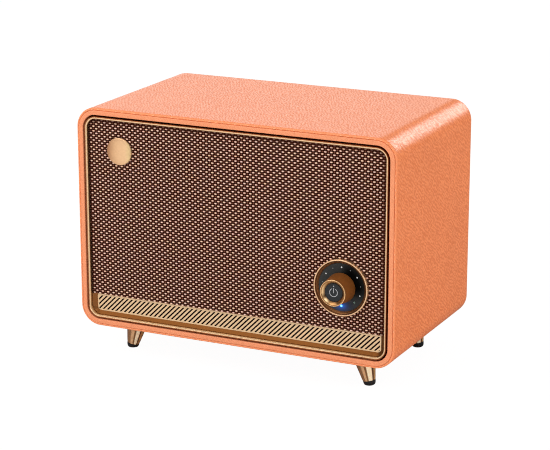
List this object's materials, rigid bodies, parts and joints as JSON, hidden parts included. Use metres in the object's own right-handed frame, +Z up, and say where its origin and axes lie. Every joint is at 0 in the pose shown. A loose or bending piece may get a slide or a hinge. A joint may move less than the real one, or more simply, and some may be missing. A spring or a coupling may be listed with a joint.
{
  "type": "table radio",
  "caption": "Leather-covered table radio with a woven grille, slanted louvre strip, push-and-turn control knob, rear sockets and splayed feet.",
  "frame": {"origin": "on the floor, under the middle of the bounding box", "axes": "+Z up, -Y out of the grille front, +X towards the knob end"},
  "size_m": [0.23, 0.144, 0.171],
  "materials": {
    "leather": "fine pebbled grain, apricot orange",
    "leather_edge": "smooth rolled and stitched edge",
    "wood": "plain fibreboard tube",
    "gold_trim": "satin champagne gold",
    "louvre_gold": "satin pale gold paint",
    "brown_bevel": "satin copper brown",
    "grille_cloth": "woven brown cloth with raised copper slubs",
    "black_plastic": "fine spark texture",
    "black_fleece": "black dust fleece",
    "badge_gold": "satin domed",
    "dial_black": "satin black",
    "dial_print": "white print",
    "indicator_blue": "clear light pipe, lit blue",
    "knob_copper": "fine-turned copper brown",
    "knob_gold": "polished gold",
    "steel": "plated",
    "dark_steel": "blackened",
    "circuit_board": "green solder mask",
    "mdf": "black-stained fibreboard",
    "paper_cone": "pulp cone",
    "copper_wire": "enamelled copper winding",
    "rubber_black": "soft black rubber",
    "spider_cloth": "resin-dipped cotton",
    "ferrite": "ground ferrite",
    "cell_wrap": "shrink sleeve",
    "foot_gold": "brushed gold",
    "cable_pvc": "cable sleeve"
  },
  "bodies": {
    "cabinet": {"cabinet_shell": "wood", "leather_wrap": "leather", "front_lip_trim": "leather_edge", "seam_bead": "leather_edge", "rear_lip_trim": "leather_edge", "front_bezel": "gold_trim", "grille_cloth": "grille_cloth", "grille_frame": "black_plastic", "louvre_strip": "louvre_gold", "strip_surround": "brown_bevel", "strip_backing": "black_fleece", "badge": "badge_gold", "front_baffle": "mdf", "baffle_screws": "dark_steel", "driver_screws": "steel", "dial_ring": "gold_trim", "dial_face": "dial_black", "dial_marks": "dial_print", "indicator_lens": "indicator_blue", "encoder_body": "steel", "encoder_nut": "steel", "control_board": "circuit_board", "rear_panel": "black_plastic", "bass_port": "black_plastic", "rear_screws": "dark_steel", "main_board": "circuit_board", "aux_jack": "black_plastic", "usb_socket": "steel", "battery_cells": "cell_wrap", "battery_cradle": "black_plastic", "aerial_wire": "cable_pvc", "speaker_cables": "cable_pvc", "feet": "foot_gold", "foot_tips": "rubber_black", "foot_screws": "steel", "left_basket": "dark_steel", "left_surround": "rubber_black", "left_spider": "spider_cloth", "left_magnet": "ferrite", "left_pole_plates": "steel", "right_basket": "dark_steel", "right_surround": "rubber_black", "right_spider": "spider_cloth", "right_magnet": "ferrite", "right_pole_plates": "steel"},
    "push_carrier": {"encoder_plunger": "black_plastic"},
    "volume_knob": {"knob_body": "knob_copper", "knob_ring": "knob_gold", "knob_cap": "dial_black", "power_symbol": "dial_print", "encoder_shaft": "steel"},
    "mode_button": {"mode_button": "rubber_black"},
    "track_back_button": {"track_back_button": "rubber_black"},
    "track_next_button": {"track_next_button": "rubber_black"},
    "left_cone": {"left_cone": "paper_cone", "left_dust_cap": "paper_cone", "left_voice_coil": "copper_wire"},
    "right_cone": {"right_cone": "paper_cone", "right_dust_cap": "paper_cone", "right_voice_coil": "copper_wire"}
  },
  "joints": [
    {"name": "knob_press", "type": "slide", "parent": "cabinet", "child": "push_carrier", "axis": [0, 1, 0], "range_m": [0, 0.0006]},
    {"name": "volume_turn", "type": "hinge", "parent": "push_carrier", "child": "volume_knob", "pos_m": [0.0773, 0, 0.07065], "axis": [0, 1, 0], "range_deg": [-135, 135]},
    {"name": "mode_press", "type": "slide", "parent": "cabinet", "child": "mode_button", "axis": [0, -1, 0], "range_m": [0, 0.0006]},
    {"name": "track_back_press", "type": "slide", "parent": "cabinet", "child": "track_back_button", "axis": [0, -1, 0], "range_m": [0, 0.0006]},
    {"name": "track_next_press", "type": "slide", "parent": "cabinet", "child": "track_next_button", "axis": [0, -1, 0], "range_m": [0, 0.0006]},
    {"name": "left_cone_travel", "type": "slide", "parent": "cabinet", "child": "left_cone", "axis": [0, -1, 0], "range_m": [-0.002, 0.002]},
    {"name": "right_cone_travel", "type": "slide", "parent": "cabinet", "child": "right_cone", "axis": [0, -1, 0], "range_m": [-0.002, 0.002]}
  ]
}
